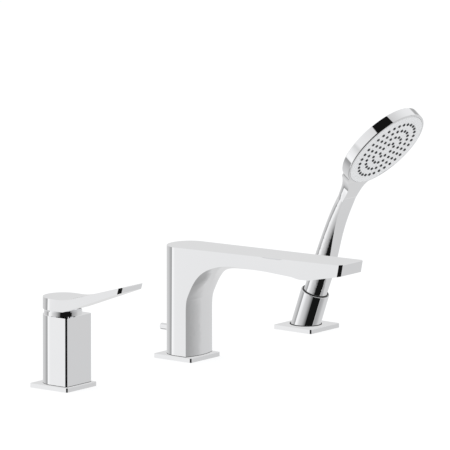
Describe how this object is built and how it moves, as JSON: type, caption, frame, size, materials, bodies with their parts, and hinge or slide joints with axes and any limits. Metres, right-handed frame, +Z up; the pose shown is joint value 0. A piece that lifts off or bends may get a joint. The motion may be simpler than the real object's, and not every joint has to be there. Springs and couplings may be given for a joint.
{
  "type": "bath shower mixer",
  "caption": "Deck-mounted bath mixer in separate units: a lever mixer, an arched flat spout with a pull diverter, and a round hand shower in a leaning holder.",
  "frame": {"origin": "centre of the spout unit, on the deck surface", "axes": "+X along the row from the lever mixer to the hand shower, +Z up, spout and lever point to -Y"},
  "size_m": [0.487, 0.2552, 0.3086],
  "materials": {
    "polished_chrome": "mirror-bright chrome plating on cast brass",
    "silver_face": "smooth pale silver plastic",
    "bare_brass": "turned, unplated brass",
    "stainless_steel": "plain bright stainless steel",
    "black_rubber": "matt moulded rubber",
    "nozzle_rubber": "soft dark nozzles",
    "pale_plastic": "moulded engineering plastic",
    "black_plastic": "smooth black plastic",
    "ceramic": "lapped ceramic"
  },
  "bodies": {
    "fixed": {"aerator_housing": "polished_chrome", "aerator_insert": "pale_plastic", "aerator_seal": "black_rubber", "cartridge_base": "pale_plastic", "cartridge_cover_ring": "polished_chrome", "cartridge_housing": "pale_plastic", "cartridge_nut": "bare_brass", "cartridge_port_seals": "black_rubber", "diverter_gland": "polished_chrome", "diverter_sleeve": "bare_brass", "diverter_spindle_seal": "black_rubber", "diverter_spring": "stainless_steel", "fixed_ceramic_disc": "ceramic", "mixer_body": "polished_chrome", "mixer_clamp_washer": "stainless_steel", "mixer_gasket": "black_rubber", "mixer_lock_nut": "bare_brass", "mixer_plate": "polished_chrome", "mixer_shank": "bare_brass", "mixer_under_seal": "black_rubber", "shower_clamp_washer": "stainless_steel", "shower_gasket": "black_rubber", "shower_holder": "polished_chrome", "shower_lock_nut": "bare_brass", "shower_plate": "polished_chrome", "shower_shank": "bare_brass", "shower_under_seal": "black_rubber", "spout_body": "polished_chrome", "spout_clamp_washer": "stainless_steel", "spout_gasket": "black_rubber", "spout_lock_nut": "bare_brass", "spout_plate": "polished_chrome", "spout_shank": "bare_brass", "spout_under_seal": "black_rubber"},
    "lever_rotor": {"cartridge_rotor": "pale_plastic", "lever_pivot_pin": "stainless_steel"},
    "lever": {"lever_stem": "stainless_steel", "lever_handle": "polished_chrome", "lever_set_screw": "stainless_steel", "lever_screw_plug": "polished_chrome"},
    "mixing_disc": {"moving_ceramic_disc": "ceramic", "disc_carrier": "pale_plastic"},
    "diverter": {"diverter_knob": "polished_chrome", "diverter_spindle": "stainless_steel", "diverter_piston": "bare_brass", "diverter_piston_seals": "black_rubber"},
    "swivel_liner": {"holder_liner": "black_plastic"},
    "hand_shower": {"hand_shower_shell": "polished_chrome", "hose_inlet": "bare_brass", "inlet_filter": "pale_plastic", "spray_plate": "silver_face", "nozzle_mat": "nozzle_rubber", "water_guide": "pale_plastic"}
  },
  "joints": [
    {"name": "lever_turn", "type": "hinge", "parent": "fixed", "child": "lever_rotor", "pos_m": [-0.2075, 0, 0.074], "axis": [0, 0, 1], "range_deg": [-45, 45]},
    {"name": "lever_lift", "type": "hinge", "parent": "lever_rotor", "child": "lever", "pos_m": [-0.2075, 0, 0.074], "axis": [-1, 0, 0], "range_deg": [0, 15]},
    {"name": "disc_slide", "type": "slide", "parent": "lever_rotor", "child": "mixing_disc", "axis": [0, -1, 0], "range_m": [0, 0.0033]},
    {"name": "diverter_pull", "type": "slide", "parent": "fixed", "child": "diverter", "axis": [0, 1, 0], "range_m": [0, 0.0079], "stiffness_N_per_m": 400, "springref_m": -0.004, "deforming": ["diverter_spring"]},
    {"name": "hand_shower_turn", "type": "hinge", "parent": "fixed", "child": "swivel_liner", "pos_m": [0.204, 0, 0.008], "axis": [0, -0.3338, 0.9426], "range_deg": [-180, 180]},
    {"name": "hand_shower_lift", "type": "slide", "parent": "swivel_liner", "child": "hand_shower", "axis": [0, -0.3338, 0.9426], "range_m": [0, 0.12]}
  ],
  "couplings": [
    {"joint": "disc_slide", "follows": "lever_lift", "m_per_rad": 0.011863}
  ]
}
